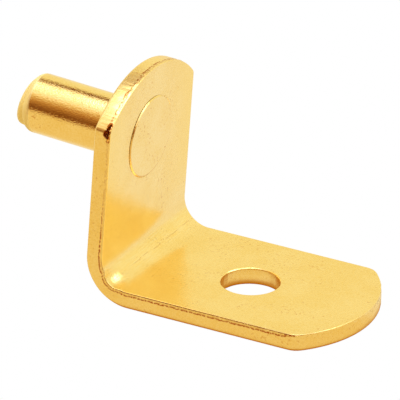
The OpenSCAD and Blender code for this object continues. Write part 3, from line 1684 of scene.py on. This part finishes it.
@dataclass
class Studio:
    """The camera, the white floor and the soft light around the part. Lengths in metres."""

    bracket: Bracket
    floor_z: float
    # Camera
    target: Vector = field(default_factory=lambda: Vector((5.2855, 1.6338, -5.5753)) * MM)
    azimuth: float = math.radians(28.085)
    elevation: float = math.radians(25.633)
    roll: float = math.radians(0.983)
    distance: float = 0.525961
    lens: float = 581.97
    sensor: float = 36.0
    # Floor: its width, and the colours that the part mirrors from it, which paint shade in front of the
    # part
    floor_w: float = 8.0
    near_y: float = -2 * MM
    far_y: float = 9 * MM
    front_y: float = -45 * MM
    front_end_y: float = -220 * MM
    shaded_front_floor: Colour = (0.45, 0.14, 0.02)
    shaded_near_floor: Colour = (0.89, 0.67, 0.30)
    far_floor: Colour = (0.95, 0.85, 0.66)
    # Shadow under the flange, and how far it reaches past its edges
    shadow: Colour = (0.52, 0.20, 0.01)
    shadow_out: float = 0.55 * MM
    shadow_in: float = 0.1 * MM
    hole_shadow_w: float = 0.8 * MM
    # Lamps, and the dark gap in the light with its warm rim
    overhead: Lamp = Lamp((0.0, 0.0, 1.0), math.radians(22), math.radians(7), 4.0)
    side: Lamp = Lamp((0.621, 0.288, 0.729), math.radians(22), math.radians(2), 2.4)
    gap_at: float = math.radians(-31.5)
    gap_half_w: float = math.radians(4.4)
    gap_rim_half_w: float = math.radians(8.5)
    gap_fade: float = math.radians(1.5)
    gap_end_x: float = 0.1
    gap_light: Colour = (0.06, 0.015, 0.003)
    gap_rim: Colour = (0.50, 0.16, 0.0)

    def set_up(self) -> None:
        """Makes the camera, the floor and the world."""
        self.add_camera()
        self.add_floor()
        self.light_world()
        scene = bpy.context.scene
        scene.view_settings.view_transform = "Standard"
        scene.view_settings.look = "None"

    def add_camera(self) -> None:
        """Places a long lens at the photograph's viewing angle."""
        a, e = self.azimuth, self.elevation
        back = Vector((math.sin(a) * math.cos(e), -math.cos(a) * math.cos(e), math.sin(e)))
        level_right = Vector((math.cos(a), math.sin(a), 0))
        level_up = back.cross(level_right)
        right = level_right * math.cos(self.roll) + level_up * math.sin(self.roll)
        up = back.cross(right)
        data = bpy.data.cameras.new("camera")
        data.lens = self.lens
        data.sensor_width = self.sensor
        data.clip_start = self.distance / 100
        data.clip_end = self.floor_w * 2
        camera = bpy.data.objects.new("camera", data)
        bpy.context.scene.collection.objects.link(camera)
        turned = Matrix((right, up, back)).transposed().to_4x4()
        camera.matrix_world = Matrix.Translation(self.target + back * self.distance) @ turned
        bpy.context.scene.camera = camera

    def add_floor(self) -> None:
        """Lays a wide glowing floor that shows white, and that the part mirrors with painted shade: warm
        and darker in front of the part, darkest far in front, and paler behind it.
        """
        bpy.ops.object.select_all(action="DESELECT")
        bpy.ops.mesh.primitive_plane_add(size=self.floor_w, location=(0, 0, self.floor_z))
        floor = bpy.context.object
        floor.name = "floor"
        material = bpy.data.materials.new("floor")
        material.use_nodes = True
        graph = Graph(material.node_tree)
        place = graph.add("NewGeometry", {}).outputs["Position"]
        _, y, _ = graph.split(place)
        mirrored: Socket | Colour = self.shaded_near_floor
        for share, colour in (
            (graph.fade(y, self.near_y, self.far_y), self.far_floor),
            (graph.fade(y, self.front_y, self.front_end_y), self.shaded_front_floor),
            (self.shaded(graph, place), self.shadow),
        ):
            mirrored = graph.mix(share, mirrored, colour)
        seen = graph.add("LightPath", {}).outputs["Is Camera Ray"]
        glow = graph.add("Emission", {"Color": graph.mix(seen, mirrored, WHITE)})
        graph.add("OutputMaterial", {"Surface": glow.outputs["Emission"]})
        floor.data.materials.append(material)

    def shaded(self, graph: Graph, place: Socket) -> Socket:
        """Share of the floor's light that the flange keeps off, under it and just round its edge.

        Args:
            graph: Floor's nodes.
            place: Output with the place on the floor.

        Returns:
            The output with the share.
        """
        part, hole = self.bracket, self.bracket.screw_hole
        x, y, _ = graph.split(place)
        half_w, end_r, hole_r = part.strip_w / 2 * MM, part.end_r * MM, hole.r * MM
        hole_centre = (part.flange_x(part.screw_hole_z) * MM, hole.shift * MM, self.floor_z)
        past_arc = graph.math("SUBTRACT", x, part.flange_x(part.tip_z + part.end_r) * MM)
        from_arc = graph.add("CombineXYZ", {0: graph.math("MAXIMUM", past_arc, 0.0), 1: y}).outputs[0]
        from_middle = graph.math("ABSOLUTE", y)
        from_arc_centre = graph.measure("LENGTH", from_arc)
        from_hole = graph.measure("DISTANCE", place, hole_centre)
        share = graph.fade(x, 0.0, part.bend_centre.x * MM)
        for distance, light, dark in (
            (from_middle, half_w + self.shadow_out, half_w - self.shadow_in),
            (from_arc_centre, end_r + self.shadow_out, end_r - self.shadow_in),
            (from_hole, hole_r - self.hole_shadow_w, hole_r + hole.breakout_w * MM),
        ):
            share = graph.product(share, graph.fade(distance, light, dark))
        return share

    def light_world(self) -> None:
        """Wraps the part in soft light: a bright top, a pale back and a dark front.

        One lamp stands straight overhead and one on the right, and on the left a dark gap divides the
        top from the back.
        """
        world = bpy.data.worlds.new("studio")
        bpy.context.scene.world = world
        world.use_nodes = True
        graph = Graph(world.node_tree)
        direction = graph.add("TexCoord", {}).outputs["Generated"]
        x, y, z = graph.split(direction)
        angle = graph.math("ARCTAN2", graph.math("MULTIPLY", y, -1.0), z)
        # The angle as a share, from 0 straight back to 1 straight in front
        share = graph.math("MULTIPLY_ADD", angle, 1 / math.pi, 0.5)
        soft = graph.ramp(share, [((degrees + 90) / 180, colour) for degrees, colour in SKY])
        off_centre = graph.math("ABSOLUTE", graph.math("SUBTRACT", angle, self.gap_at))
        left = graph.fade(x, self.gap_end_x, -self.gap_end_x)
        for half_w, light in ((self.gap_rim_half_w, self.gap_rim), (self.gap_half_w, self.gap_light)):
            within = graph.fade(off_centre, half_w, half_w - self.gap_fade)
            soft = graph.mix(graph.product(within, left), soft, light)
        lamps = graph.math("ADD", self.overhead.glow(graph, direction), self.side.glow(graph, direction))
        soft_light = graph.add("Background", {"Color": soft}).outputs["Background"]
        lamp_light = graph.add("Background", {"Strength": lamps}).outputs["Background"]
        light = graph.add("AddShader", {0: soft_light, 1: lamp_light})
        graph.add("OutputWorld", {"Surface": light.outputs["Shader"]})


def main() -> None:
    """Builds the studio and both pieces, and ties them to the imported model."""
    logging.basicConfig(level=logging.INFO, format="%(name)s: %(message)s")
    bracket = Bracket()
    pin = Pin(lean=bracket.lean)
    Studio(bracket, floor_z=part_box("bracket")[0].z).set_up()
    effects = {group.name: group for group in (make() for make in EFFECTS)}
    pieces = [(part, part.build()) for part in (bracket, pin)]
    for part, piece in pieces:
        part.dress(piece, effects)
        log.info("%s: %d faces", piece.obj.name, len(piece.obj.data.polygons))


if __name__ == "__main__":
    main()
